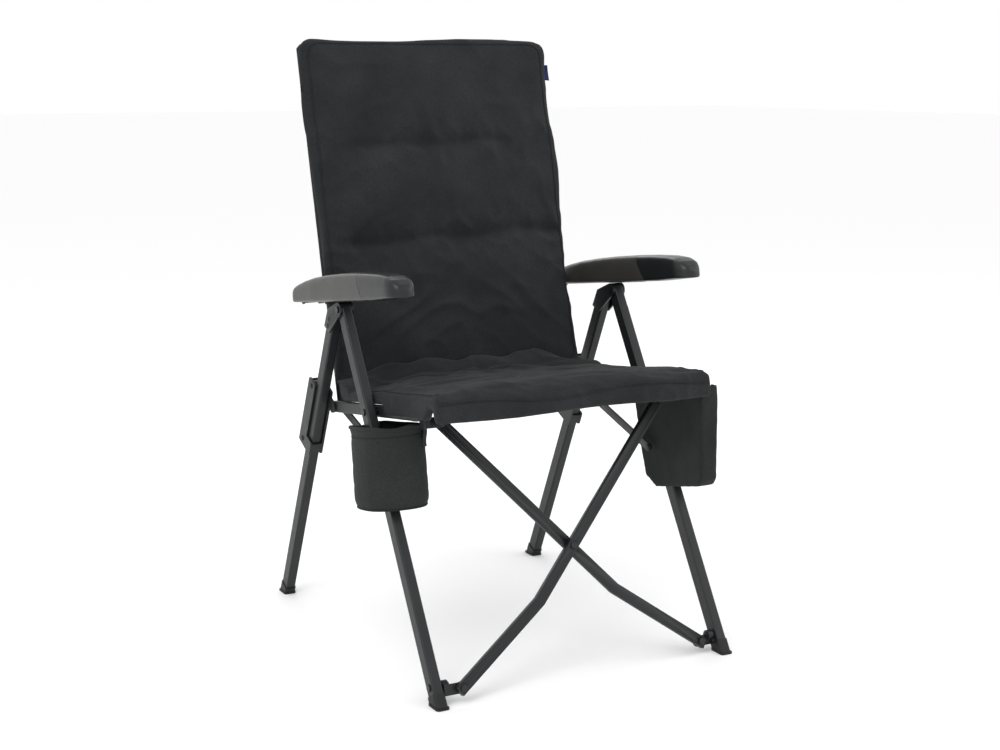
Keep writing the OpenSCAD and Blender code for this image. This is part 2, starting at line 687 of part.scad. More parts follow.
// Soft parts
module seat_pad() {
    color(cloth) in_rail() {
        plate(-seat_w / 2, seat_w / 2) {
            patch(seat_front, seat_back, seat_low, seat_low + seat_t, 12);
            patch(seat_front, seat_front + 22, -seat_band, seat_low + seat_t, 10);
            polygon([[seat_back - 40, seat_low + 10], [seat_back, seat_low + 10],
                     [seat_back + 10, seat_low + 40], [seat_back + 8, seat_low + 78],
                     [seat_back - 4, seat_low + 78]]);
        }
    }
}
module back_pad() {
    color(cloth) in_pole() translate([0, pole_offset - pole_dia / 2 - 3, 0]) rotate([90, 0, 0])
        linear_extrude(back_t) {
            patch(-back_w / 2, back_w / 2, 100, back_l, 55);
            patch(-back_w / 2, back_w / 2, 20, 250, 20);
        }
}
module back_tabs() {
    color(cloth) in_pole() translate([0, pole_offset - pole_dia / 2 - 3 - back_t - 0.4, 0]) rotate([90, 0, 0])
        linear_extrude(1) {
            patch(back_w / 2 - 14, back_w / 2 - 2, back_l - 66, back_l - 36, 1);
            patch(-back_w / 2 + 1, -back_w / 2 + 9, back_l - 92, back_l - 84, 1);
        }
}
// Room for the leg that passes through a pocket
module leg_room() {
    in_front_leg() translate([leg_x, 0, 60]) linear_extrude(hub_along - 100)
        rounded(tube_w + 1.4, tube_d + 2, tube_r);
}
cup_tilt = 8;
cup_x = leg_x + cup_out - cup_w / 2;
cup_at = strut_end + [-15.2, -48.8];
module in_cup() { translate([cup_x, 0, 0]) place(cup_at) rotate([-cup_tilt, 0, 0]) children(); }
module oval(g, z0, z1) {
    translate([0, 0, z0]) linear_extrude(z1 - z0) rounded(cup_w - 2 * g, cup_l - 2 * g, cup_w / 2 - g - 2);
}
module cup_holder() {
    color(cloth) on_side(LEFT) difference() {
        union() {
            in_cup() difference() {
                oval(0, 0, cup_h);
                oval(fabric_t, fabric_t, cup_h + 1);
            }
            intersection() {
                in_cup() oval(1, 0, cup_h - 4);
                in_front_leg() translate([cup_x - 100, -tube_d / 2 - 4, strut_along - 128])
                    cube([200, fabric_t, 400]);
            }
        }
        leg_room();
        in_strut() plate(strut_x0 - 5, strut_x1 + 5)
            patch(-strut_l - 14, -strut_l + 120, -strut_w / 2 - 3, strut_w / 2 + 3, 1);
    }
}
pocket_x0 = rail_x1 + 1;
pocket_x1 = leg_x + pocket_out;
// Side view of the pocket, measured from the rail's leg pivot
function pocket_edge(g) = [
    [g - 226.8, 36.3], [g - 226.8, -25.7], [g - 232.8, g / 2 - 151.7], [g - 220.8, g - 167.7],
    [-176.8, g - 177.7], [-70.8, g - 200.7], [-g - 32.8, g - 183.7], [-g - 7.8, -115.7],
    [13.2 - g, -33.7], [-18.8, -27.7], [-g - 40.8, 6.3]];
module pocket_shape(x0, x1, g) {
    place(rail_pivot) intersection() {
        plate(x0, x1) polygon(pocket_edge(g));
        translate([0, 0, -220]) linear_extrude(300)
            polygon([[x0 - 1, -280], [x1 - pocket_taper, -280], [x1 - pocket_taper, -215],
                     [x1, -90], [x1, 60], [x0 - 1, 60]]);
    }
}
module side_pocket() {
    color(cloth) difference() {
        pocket_shape(pocket_x0, pocket_x1, 0);
        pocket_shape(pocket_x0 + fabric_t, pocket_x1 - fabric_t, fabric_t);
        for (dz = [2, 5, 9]) translate([0, 0, dz])
            pocket_shape(pocket_x0 + fabric_t, pocket_x1 - fabric_t, fabric_t);
        leg_room();
    }
}

front_leg(LEFT);  // front_leg_left
front_leg(RIGHT);  // front_leg_right
front_knuckle(LEFT);  // front_knuckle_left
front_knuckle(RIGHT);  // front_knuckle_right
front_foot(LEFT);  // front_foot_left
front_foot(RIGHT);  // front_foot_right
front_leg_bolts(LEFT);  // front_leg_bolts_left
front_leg_bolts(RIGHT);  // front_leg_bolts_right
rear_leg(LEFT);  // rear_leg_left
rear_leg(RIGHT);  // rear_leg_right
rear_hub(LEFT);  // rear_hub_left
rear_hub(RIGHT);  // rear_hub_right
rear_foot(LEFT);  // rear_foot_left
rear_foot(RIGHT);  // rear_foot_right
seat_rail(LEFT);  // seat_rail_left
seat_rail(RIGHT);  // seat_rail_right
rail_lug(LEFT);  // rail_lug_left
rail_lug(RIGHT);  // rail_lug_right
lug_pin(LEFT);  // lug_pin_left
lug_pin(RIGHT);  // lug_pin_right
slider(LEFT);  // slider_left
slider(RIGHT);  // slider_right
slider_rollers(LEFT);  // slider_rollers_left
slider_rollers(RIGHT);  // slider_rollers_right
slider_pin(LEFT);  // slider_pin_left
slider_pin(RIGHT);  // slider_pin_right
side_strut(LEFT);  // side_strut_left
side_strut(RIGHT);  // side_strut_right
upper_link(LEFT);  // upper_link_left
upper_link(RIGHT);  // upper_link_right
foot_swivel(LEFT);  // foot_swivel_left
foot_swivel(RIGHT);  // foot_swivel_right
back_hinge(LEFT);  // back_hinge_left
back_hinge(RIGHT);  // back_hinge_right
pole_fitting(LEFT);  // pole_fitting_left
pole_fitting(RIGHT);  // pole_fitting_right
back_pole(LEFT);  // back_pole_left
back_pole(RIGHT);  // back_pole_right
pole_cap(LEFT);  // pole_cap_left
pole_cap(RIGHT);  // pole_cap_right
arm_bracket(LEFT);  // arm_bracket_left
arm_bracket(RIGHT);  // arm_bracket_right
arm_bush(LEFT);  // arm_bush_left
arm_bush(RIGHT);  // arm_bush_right
armrest(LEFT);  // armrest_left
armrest(RIGHT);  // armrest_right
armrest_cap(LEFT);  // armrest_cap_left
armrest_cap(RIGHT);  // armrest_cap_right
armrest_rack(LEFT);  // armrest_rack_left
armrest_rack(RIGHT);  // armrest_rack_right
cross_bar_a();
cross_bar_b();
cross_bolt();
bar_bolts_a();
bar_bolts_b();
seat_pad();
back_pad();
back_tabs();
cup_holder();
side_pocket();
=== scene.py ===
"""Folding reclining camp chair: padded cloth, moulded armrests and painted tube round the CAD frame."""
import json
from math import cos, exp, pi, radians, sin, sqrt

import bpy
from bpy.props import FloatProperty, FloatVectorProperty, PointerProperty
from mathutils import Matrix, Vector, noise


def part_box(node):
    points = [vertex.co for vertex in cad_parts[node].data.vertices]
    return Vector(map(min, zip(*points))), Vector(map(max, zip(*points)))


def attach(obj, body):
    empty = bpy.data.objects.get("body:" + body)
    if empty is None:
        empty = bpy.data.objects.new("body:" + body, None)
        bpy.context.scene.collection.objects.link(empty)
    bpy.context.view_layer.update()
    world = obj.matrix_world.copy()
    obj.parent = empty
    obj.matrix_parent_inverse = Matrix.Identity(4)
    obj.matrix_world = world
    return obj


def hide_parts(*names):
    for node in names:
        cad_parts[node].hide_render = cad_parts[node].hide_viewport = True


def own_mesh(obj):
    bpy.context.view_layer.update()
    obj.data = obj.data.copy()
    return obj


bl_info = {
    "name": "Folding camp chair",
    "version": (1, 0, 0),
    "blender": (4, 5, 0),
    "location": "View3D > Sidebar > Chair",
    "description": "Builds the soft and moulded pieces of a folding camp chair round its CAD frame",
    "category": "Object",
}

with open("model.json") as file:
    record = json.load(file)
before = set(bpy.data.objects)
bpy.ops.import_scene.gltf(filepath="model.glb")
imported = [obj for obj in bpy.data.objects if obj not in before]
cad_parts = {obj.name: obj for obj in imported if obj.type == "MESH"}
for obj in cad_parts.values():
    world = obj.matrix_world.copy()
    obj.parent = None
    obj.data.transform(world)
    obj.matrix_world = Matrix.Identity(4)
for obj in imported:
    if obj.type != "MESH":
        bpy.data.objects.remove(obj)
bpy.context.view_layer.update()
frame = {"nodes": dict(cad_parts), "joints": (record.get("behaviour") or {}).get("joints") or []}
JOINTS = {j["name"]: j for j in frame["joints"]}
SIDES = {"left": -1, "right": 1}


def pivot(joint):
    """Where a joint turns, in the row frame."""
    return Vector(JOINTS[joint]["pos_m"])


# ---------------------------------------------------------------- settings

class ChairSizes(bpy.types.PropertyGroup):
    back_lean: FloatProperty(name="Back lean", description="Lean of the back from the vertical",
                             default=radians(14.4), subtype="ANGLE")
    front_lean: FloatProperty(name="Front leg lean", description="Lean of the front legs from the vertical",
                              default=radians(31.4), subtype="ANGLE")
    rail_slope: FloatProperty(name="Seat slope", description="Slope of the seat rails, front end up",
                              default=radians(7.8), subtype="ANGLE")
    arm_slope: FloatProperty(name="Armrest slope", description="Slope of the armrests, front end up",
                             default=radians(7.3), subtype="ANGLE")
    voxel: FloatProperty(name="Cloth mesh size",
                         description="Mesh size of the padded pieces before the cloth swells",
                         default=0.0065, unit="LENGTH")
    tuft_high: FloatProperty(name="Upper crease height", description="Height of the back's upper sewn crease",
                             default=0.955, unit="LENGTH")
    tuft_low: FloatProperty(name="Lower crease height", description="Height of the back's lower sewn crease",
                            default=0.765, unit="LENGTH")
    tuft_depth: FloatProperty(name="Crease depth", description="Depth of the sewn creases",
                              default=0.013, unit="LENGTH")
    back_crown: FloatProperty(name="Back crown", description="How far the back's padding may swell",
                              default=0.022, unit="LENGTH")
    seat_crown: FloatProperty(name="Seat crown", description="How far the seat's padding may swell",
                              default=0.016, unit="LENGTH")
    piping: FloatProperty(name="Piping radius", description="Radius of the piping along the seams",
                          default=0.0024, unit="LENGTH")
    cup_wall: FloatProperty(name="Cup holder wall", description="Thickness of the cup holder's cloth",
                            default=0.0022, unit="LENGTH")
    bar_edge: FloatProperty(name="Bar edge radius", description="Radius of the long edges of the cross bars",
                            default=0.0028, unit="LENGTH")


class ChairColours(bpy.types.PropertyGroup):
    cloth: FloatVectorProperty(name="Cloth", description="Charcoal canvas of the seat and back",
                               subtype="COLOR",
                               size=3, min=0, max=1, default=(0.0185, 0.0197, 0.0208))
    cup_cloth: FloatVectorProperty(name="Pocket cloth",
                                   description="Canvas of the cup holder and the side pocket",
                                   subtype="COLOR", size=3, min=0, max=1, default=(0.0205, 0.0228, 0.0222))
    paint: FloatVectorProperty(name="Frame paint", description="Satin anthracite powder coat",
                               subtype="COLOR",
                               size=3, min=0, max=1, default=(0.0095, 0.0105, 0.0115))
    plastic: FloatVectorProperty(name="Black plastic", description="Feet, fittings and rollers",
                                 subtype="COLOR",
                                 size=3, min=0, max=1, default=(0.0060, 0.0063, 0.0068))
    arm: FloatVectorProperty(name="Armrest shell", description="Warm dark grey of the armrests' main shells",
                             subtype="COLOR", size=3, min=0, max=1, default=(0.0330, 0.0320, 0.0290))
    cap: FloatVectorProperty(name="Armrest cap", description="Dark gloss of the armrests' front caps",
                             subtype="COLOR", size=3, min=0, max=1, default=(0.0085, 0.0092, 0.0102))
    steel: FloatVectorProperty(name="Bolts", description="Blackened steel of the bolts", subtype="COLOR",
                               size=3, min=0, max=1, default=(0.030, 0.031, 0.033))
    label: FloatVectorProperty(name="Label", description="Navy of the small blank label", subtype="COLOR",
                               size=3, min=0, max=1, default=(0.010, 0.014, 0.060))
    floor: FloatVectorProperty(name="Floor", description="Pale studio floor", subtype="COLOR",
                               size=3, min=0, max=1, default=(0.97, 0.97, 0.97))


def sizes():
    return bpy.context.scene.chair_sizes


def colours():
    return bpy.context.scene.chair_colours


# ---------------------------------------------------------------- materials

def start_material(name, colour, roughness):
    mat = bpy.data.materials.new(name)
    mat.use_nodes = True
    mat.diffuse_color = (*colour, 1)
    tree = mat.node_tree
    shader = tree.nodes["Principled BSDF"]
    shader.inputs["Base Color"].default_value = (*colour, 1)
    shader.inputs["Roughness"].default_value = roughness
    place = tree.nodes.new("ShaderNodeTexCoord")
    return mat, tree, shader, place.outputs["Object"]


def add_noise(tree, where, scale, detail=4.0, stretch=(1, 1, 1)):
    mapping = tree.nodes.new("ShaderNodeMapping")
    mapping.inputs["Scale"].default_value = stretch
    tree.links.new(where, mapping.inputs["Vector"])
    tex = tree.nodes.new("ShaderNodeTexNoise")
    tex.inputs["Scale"].default_value = scale
    tex.inputs["Detail"].default_value = detail
    tree.links.new(mapping.outputs["Vector"], tex.inputs["Vector"])
    return tex.outputs["Fac"]


def add_ramp(tree, value, low, high, start=0.3, end=0.7):
    ramp = tree.nodes.new("ShaderNodeValToRGB")
    ramp.color_ramp.elements[0].position = start
    ramp.color_ramp.elements[1].position = end
    ramp.color_ramp.elements[0].color = (*low, 1)
    ramp.color_ramp.elements[1].color = (*high, 1)
    tree.links.new(value, ramp.inputs["Fac"])
    return ramp.outputs["Color"]


def add_bump(tree, shader, height, strength, distance, before=None):
    bump = tree.nodes.new("ShaderNodeBump")
    bump.inputs["Strength"].default_value = strength
    bump.inputs["Distance"].default_value = distance
    tree.links.new(height, bump.inputs["Height"])
    if before is not None:
        tree.links.new(before, bump.inputs["Normal"])
    tree.links.new(bump.outputs["Normal"], shader.inputs["Normal"])
    return bump.outputs["Normal"]


def times(tree, a, b, how="MULTIPLY"):
    node = tree.nodes.new("ShaderNodeMath")
    node.operation = how
    tree.links.new(a, node.inputs[0])
    tree.links.new(b, node.inputs[1])
    return node.outputs[0]


def woven(name, colour, thread=0.0016, sheen=0.05):
    """Canvas: crossed threads, slubs, faint fading and soft handling creases."""
    mat, tree, shader, where = start_material(name, colour, 0.94)
    shader.inputs["Sheen Weight"].default_value = sheen
    shader.inputs["Sheen Roughness"].default_value = 0.55
    shader.inputs["Specular IOR Level"].default_value = 0.10
    bands = []
    for turn in ((0, 0, 0), (0, radians(90), 0)):
        mapping = tree.nodes.new("ShaderNodeMapping")
        mapping.inputs["Rotation"].default_value = turn
        tree.links.new(where, mapping.inputs["Vector"])
        wave = tree.nodes.new("ShaderNodeTexWave")
        wave.inputs["Scale"].default_value = pi / (10 * thread)
        wave.inputs["Distortion"].default_value = 1.2
        wave.inputs["Detail"].default_value = 1.0
        tree.links.new(mapping.outputs["Vector"], wave.inputs["Vector"])
        bands.append(wave.outputs["Fac"])
    weave = times(tree, bands[0], bands[1], "ADD")
    slub = add_noise(tree, where, 420, 3)
    fade = add_noise(tree, where, 9, 5)
    mixed = times(tree, slub, fade)
    light = [c * 1.38 for c in colour]
    dark = [c * 0.74 for c in colour]
    tree.links.new(add_ramp(tree, mixed, dark, light, 0.12, 0.42), shader.inputs["Base Color"])
    first = add_bump(tree, shader, add_noise(tree, where, 34, 6, (1, 1, 0.55)), 0.42, 0.0035)
    second = add_bump(tree, shader, slub, 0.35, 0.0006, first)
    add_bump(tree, shader, weave, 0.30, 0.0003, second)
    return mat


def coated(name, colour, roughness=0.42, grain=900.0):
    """Powder coat on tube: fine orange peel, uneven gloss and slightly lighter rubbed patches."""
    mat, tree, shader, where = start_material(name, colour, roughness)
    shader.inputs["Specular IOR Level"].default_value = 0.38
    rub = add_noise(tree, where, 16, 6)
    light = [min(1, c * 1.35) for c in colour]
    tree.links.new(add_ramp(tree, rub, colour, light, 0.45, 0.75), shader.inputs["Base Color"])
    spread = tree.nodes.new("ShaderNodeMapRange")
    spread.inputs["To Min"].default_value = roughness - 0.07
    spread.inputs["To Max"].default_value = roughness + 0.10
    tree.links.new(add_noise(tree, where, 60, 5), spread.inputs["Value"])
    tree.links.new(spread.outputs["Result"], shader.inputs["Roughness"])
    add_bump(tree, shader, add_noise(tree, where, grain, 2), 0.16, 0.0004)
    return mat


def moulded(name, colour, roughness=0.5, coat=0.0, grain=1400.0):
    """Injection-moulded plastic with a fine spark-eroded grain."""
    mat, tree, shader, where = start_material(name, colour, roughness)
    shader.inputs["Specular IOR Level"].default_value = 0.35
    shader.inputs["Coat Weight"].default_value = coat
    shader.inputs["Coat Roughness"].default_value = 0.12
    tint = add_noise(tree, where, 22, 5)
    light = [min(1, c * 1.25) for c in colour]
    tree.links.new(add_ramp(tree, tint, colour, light, 0.4, 0.8), shader.inputs["Base Color"])
    spread = tree.nodes.new("ShaderNodeMapRange")
    spread.inputs["To Min"].default_value = max(0.05, roughness - 0.06)
    spread.inputs["To Max"].default_value = roughness + 0.08
    tree.links.new(add_noise(tree, where, 90, 6), spread.inputs["Value"])
    tree.links.new(spread.outputs["Result"], shader.inputs["Roughness"])
    add_bump(tree, shader, add_noise(tree, where, grain, 2), 0.12, 0.0003)
    return mat


def bolt_steel(name, colour):
    """Blackened steel with fine turning marks."""
    mat, tree, shader, where = start_material(name, colour, 0.34)
    shader.inputs["Metallic"].default_value = 0.85
    tree.links.new(add_ramp(tree, add_noise(tree, where, 240, 4, (1, 1, 3)), colour,
                            [c * 1.7 for c in colour]),
                   shader.inputs["Base Color"])
    add_bump(tree, shader, add_noise(tree, where, 1200, 2), 0.2, 0.0002)
    return mat


def finish_of(key):
    """The chair's materials, each made once."""
    made = bpy.data.materials.get("chair_" + key)
    if made:
        return made
    c = colours()
    makers = {
        "cloth": lambda n: woven(n, tuple(c.cloth)),
        "pocket_cloth": lambda n: woven(n, tuple(c.cup_cloth), 0.0014, 0.05),
        "piping": lambda n: woven(n, tuple(x * 0.8 for x in c.cloth), 0.0010, 0.04),
        "label": lambda n: woven(n, tuple(c.label), 0.0008, 0.08),
        "webbing": lambda n: woven(n, tuple(x * 1.5 for x in c.cup_cloth), 0.0022, 0.05),
        "paint": lambda n: coated(n, tuple(c.paint)),
        "plastic": lambda n: moulded(n, tuple(c.plastic), 0.52),
        "arm": lambda n: moulded(n, tuple(c.arm), 0.40, 0.05, 1800),
        "cap": lambda n: moulded(n, tuple(c.cap), 0.34, 0.05, 1500),
        "steel": lambda n: bolt_steel(n, tuple(c.steel)),
    }
    return makers[key]("chair_" + key)


def dress(obj, key):
    obj.data.materials.clear()
    obj.data.materials.append(finish_of(key))
    return obj


# ---------------------------------------------------------------- modelling helpers

def deselect():
    if bpy.context.mode != "OBJECT":
        bpy.ops.object.mode_set(mode="OBJECT")
    bpy.ops.object.select_all(action="DESELECT")


def pick(obj):
    deselect()
    obj.select_set(True)
    bpy.context.view_layer.objects.active = obj
    return obj


def named(name):
    """The object an operator has just added, under its own name."""
    obj = bpy.context.active_object
    obj.name = name
    obj.data.name = name
    return obj


def settle(obj):
    """Applies an object's place to its mesh, so that the object sits at the origin."""
    pick(obj)
    bpy.ops.object.transform_apply(location=True, rotation=True, scale=True)
    return obj


def with_modifier(obj, kind, **values):
    mod = obj.modifiers.new(kind.title(), kind)
    for key, value in values.items():
        setattr(mod, key, value)
    pick(obj)
    bpy.ops.object.modifier_apply(modifier=mod.name)
    return obj


def in_edit(obj):
    pick(obj)
    bpy.ops.object.mode_set(mode="EDIT")
    bpy.ops.mesh.select_all(action="SELECT")


def out_of_edit():
    bpy.ops.object.mode_set(mode="OBJECT")


def outward(obj):
    in_edit(obj)
    bpy.ops.mesh.remove_doubles(threshold=0.00002)
    bpy.ops.mesh.normals_make_consistent(inside=False)
    out_of_edit()


def smooth(obj, angle=40):
    pick(obj)
    bpy.ops.object.shade_smooth_by_angle(angle=radians(angle))
    return obj


def copy_of(node, name):
    """A merged copy of a CAD node's mesh, as the start of a piece."""
    source = frame["nodes"][node]
    obj = bpy.data.objects.new(name, source.data.copy())
    obj.data.name = name
    bpy.context.scene.collection.objects.link(obj)
    obj.data.materials.clear()
    in_edit(obj)
    bpy.ops.mesh.remove_doubles(threshold=0.00005)
    bpy.ops.mesh.dissolve_limited(angle_limit=radians(1.5))
    out_of_edit()
    return obj


def move_points(obj, change):
    """Moves each point of a mesh to change(point)."""
    for v in obj.data.vertices:
        v.co = change(v.co.copy())
    obj.data.update()


def remeshed(obj, voxel, passes=0):
    obj.data.remesh_voxel_size = voxel
    pick(obj)
    bpy.ops.object.voxel_remesh()
    if passes:
        with_modifier(obj, "SMOOTH", factor=0.5, iterations=passes)
    return obj


def swell(obj, pinned, cap, pressure=4.0, frames=20):
    """Blows the padding up with a cloth simulation.

    pinned(point) is from 0, free, to 1, held. No point moves past cap.
    """
    before = [v.co.copy() for v in obj.data.vertices]
    group = obj.vertex_groups.new(name="held")
    for v in obj.data.vertices:
        weight = pinned(v.co)
        if weight > 0:
            group.add([v.index], weight, "REPLACE")
    pick(obj)
    cloth = obj.modifiers.new("Swell", "CLOTH")
    cloth.settings.quality = 5
    cloth.settings.mass = 0.25
    cloth.settings.tension_stiffness = 18
    cloth.settings.compression_stiffness = 18
    cloth.settings.bending_stiffness = 0.6
    cloth.settings.use_pressure = True
    cloth.settings.uniform_pressure_force = pressure
    cloth.settings.vertex_group_mass = "held"
    cloth.settings.effector_weights.gravity = 0
    cloth.collision_settings.use_collision = False
    scene = bpy.context.scene
    for f in range(1, frames + 1):
        scene.frame_set(f)
    pick(obj)
    bpy.ops.object.modifier_apply(modifier=cloth.name)
    scene.frame_set(1)
    for v, old in zip(obj.data.vertices, before):
        step = v.co - old
        if step.length > cap:
            v.co = old + step * (cap / step.length)
    obj.vertex_groups.clear()
    obj.data.update()
    return obj


def rounded_loop(w0, w1, h0, h1, r, step):
    """Points round a rectangle with rounded corners, in order, as (across, up)."""
    points = []
    corners = ((w1 - r, h1 - r, 0), (w0 + r, h1 - r, 90), (w0 + r, h0 + r, 180), (w1 - r, h0 + r, 270))
    for cx, cy, start in corners:
        for i in range(9):
            a = radians(start + i * 90 / 8)
            points.append((cx + r * cos(a), cy + r * sin(a)))
    out = []
    for i, a in enumerate(points):
        b = points[(i + 1) % len(points)]
        length = sqrt((b[0] - a[0]) ** 2 + (b[1] - a[1]) ** 2)
        n = max(1, round(length / step))
        out += [(a[0] + (b[0] - a[0]) * k / n, a[1] + (b[1] - a[1]) * k / n) for k in range(n)]
    return out


def piping(name, points, radius, closed=True):
    """A sewn piping cord along points: a curve with a round bevel, made a mesh."""
    curve = bpy.data.curves.new(name, "CURVE")
    curve.dimensions = "3D"
    curve.bevel_depth = radius
    curve.bevel_resolution = 3
    curve.use_fill_caps = not closed
    spline = curve.splines.new("POLY")
    spline.points.add(len(points) - 1)
    for p, q in zip(spline.points, points):
        p.co = (*q, 1)
    spline.use_cyclic_u = closed
    obj = bpy.data.objects.new(name, curve)
    bpy.context.scene.collection.objects.link(obj)
    pick(obj)
    bpy.ops.object.convert(target="MESH")
    obj = bpy.context.active_object
    outward(obj)
    return smooth(obj, 60)


def onto(pad, points, direction, back=0.0):
    """Points moved along direction until they lie on the pad's surface, back behind it."""
    bpy.context.view_layer.update()
    out = []
    for p in points:
        hit, where, _, _ = pad.ray_cast(p - direction * 0.12, direction, distance=0.3)
        out.append(where + direction * back if hit else p)
    return out


def extent(node, away):
    """Lower and upper corners of a CAD node in another frame."""
    points = [away @ v.co for v in frame["nodes"][node].data.vertices]
    return [Vector([pick_one(p[i] for p in points) for i in range(3)]) for pick_one in (min, max)]


def block(name, lo, hi, edge, deep=3.0):
    """A box between two corners with softly rounded edges, deep times flatter front to back than sideways."""
    deselect()
    bpy.ops.mesh.primitive_cube_add(size=1, location=(0, 0, 0))
    obj = named(name)
    size = hi - lo
    move_points(obj, lambda p: Vector((p[0] * size[0], p[1] * size[1] * deep, p[2] * size[2])))
    with_modifier(obj, "BEVEL", width=edge, segments=8, limit_method="ANGLE", angle_limit=radians(60))
    mid = (lo + hi) / 2
    move_points(obj, lambda p: Vector((p[0] + mid[0], p[1] / deep + mid[1], p[2] + mid[2])))
    return obj


def crinkle(p, scale, seed):
    """Sharp little ridges, from 0 to 1, as crumpled canvas has."""
    return (1 - min(1, abs(bump_of(p, scale, seed)) * 1.6)) ** 5


def bump_of(p, scale, seed):
    return noise.noise(Vector((p[0] * scale + seed, p[1] * scale - seed, p[2] * scale + 2 * seed)))


def squeezed(obj):
    """Gives the piece its own copy of its mesh."""
    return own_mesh(obj)


# ---------------------------------------------------------------- stage

class CHAIR_OT_stage(bpy.types.Operator):
    """Pale floor, soft studio lights and the camera"""
    bl_idname = "chair.stage"
    bl_label = "Stage"

    def execute(self, context):
        scene = context.scene
        deselect()
        bpy.ops.mesh.primitive_plane_add(size=60, location=(0, 12, 0))
        floor = settle(named("studio_floor"))
        mat = start_material("studio_floor", tuple(colours().floor), 0.9)[0]
        floor.data.materials.append(mat)
        world = bpy.data.worlds.new("studio")
        scene.world = world
        world.use_nodes = True
        world.node_tree.nodes["Background"].inputs["Color"].default_value = (1, 1, 1, 1)
        world.node_tree.nodes["Background"].inputs["Strength"].default_value = 1.0
        for name, place, aim, size, power in (
            ("key", (-2.6, -2.2, 3.4), (0, 0, 0.5), 2.2, 60),
            ("fill", (3.2, -1.8, 2.2), (0, 0, 0.6), 2.6, 25),
            ("back", (0.6, 3.2, 2.8), (0, 0, 0.7), 2.4, 30),
        ):
            lamp = bpy.data.lights.new(name, "AREA")
            lamp.energy = power
            lamp.size = size
            obj = bpy.data.objects.new(name, lamp)
            scene.collection.objects.link(obj)
            obj.location = place
            obj.rotation_euler = (Vector(aim) - Vector(place)).to_track_quat("-Z", "Y").to_euler()
        lens = bpy.data.cameras.new("camera")
        lens.lens = 59.5
        lens.sensor_width = 36
        camera = bpy.data.objects.new("camera", lens)
        scene.collection.objects.link(camera)
        foot = pivot("foot_turn_left")
        camera.location = (-1.504, -2.516 + foot[1], 1.106)
        camera.rotation_euler = (radians(79.59), radians(0.05), radians(-27.92))
        scene.camera = camera
        scene.view_settings.view_transform = "Standard"
        return {"FINISHED"}


# ---------------------------------------------------------------- frame

class CHAIR_OT_frame(bpy.types.Operator):
    """Paint, plastic and steel on the frame's own pieces"""
    bl_idname = "chair.frame"
    bl_label = "Frame finishes"

    def execute(self, context):
        keys = (("bolts", "steel"), ("cross_bolt", "steel"), ("lug_pin", "steel"), ("slider_pin", "steel"),
                ("slider_rollers", "plastic"), ("foot_swivel", "paint"), ("foot", "plastic"),
                ("back_hinge", "plastic"), ("pole_fitting", "plastic"), ("pole_cap", "plastic"),
                ("arm_bush", "plastic"), ("armrest_rack", "plastic"), ("armrest_cap", "cap"), ("armrest",
                                                                                               "arm"),
                ("pad", "cloth"), ("cup_holder", "cloth"), ("pocket", "cloth"), ("tabs", "label"))
        for name, obj in frame["nodes"].items():
            key = next((k for word, k in keys if word in name), "paint")
            obj.data.materials.clear()
            obj.data.materials.append(finish_of(key))
        return {"FINISHED"}


def rounded_metal(node, body, edge):
    """A copy of a CAD tube or plate with its long edges rounded."""
    obj = copy_of(node, node + "_rounded")
    with_modifier(obj, "BEVEL", width=edge, segments=3, limit_method="ANGLE", angle_limit=radians(60),
                  use_clamp_overlap=True)
    outward(obj)
    smooth(obj, 50)
    dress(obj, "paint")
    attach(obj, body)
    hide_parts(node)
    return obj


class CHAIR_OT_bars(bpy.types.Operator):
    """The two bent cross bars, the links and the struts with their rounded edges"""
    bl_idname = "chair.bars"
    bl_label = "Cross bars"

    def execute(self, context):
        edge = sizes().bar_edge
        rounded_metal("cross_bar_a", "bar_a", edge)
        rounded_metal("cross_bar_b", "bar_b", edge)
        for side in SIDES:
            rounded_metal("slider_" + side, "slider_" + side, 0.0011)
            rounded_metal("rear_hub_" + side, "rear_leg_" + side, 0.0009)
            rounded_metal("side_strut_" + side, "strut_" + side, 0.0007)
            rounded_metal("foot_swivel_" + side, "swivel_" + side, 0.0009)
            rounded_metal("upper_link_" + side, "link_" + side, 0.0009)
        return {"FINISHED"}


# ---------------------------------------------------------------- armrests

ARM_TOP = ((0.025, 0.011), (0.021, 0.019), (0.011, 0.0255), (-0.015, 0.0320), (-0.055, 0.0384), (-0.105,
                                                                                                 0.0438),
           (-0.165, 0.0470), (-0.235, 0.0488), (-0.305, 0.0488), (-0.375, 0.0472), (-0.430, 0.0442),
           (-0.462, 0.0398), (-0.482, 0.0325), (-0.493, 0.0225), (-0.497, 0.0120))
ARM_LOW = -0.0044


def along(table, y):
    """Height of the armrest's top at y, from the table."""
    for (y0, z0), (y1, z1) in zip(table, table[1:]):
        if y1 <= y <= y0:
            return z0 + (z1 - z0) * (y0 - y) / (y0 - y1)
    return table[0][1] if y > table[0][0] else table[-1][1]


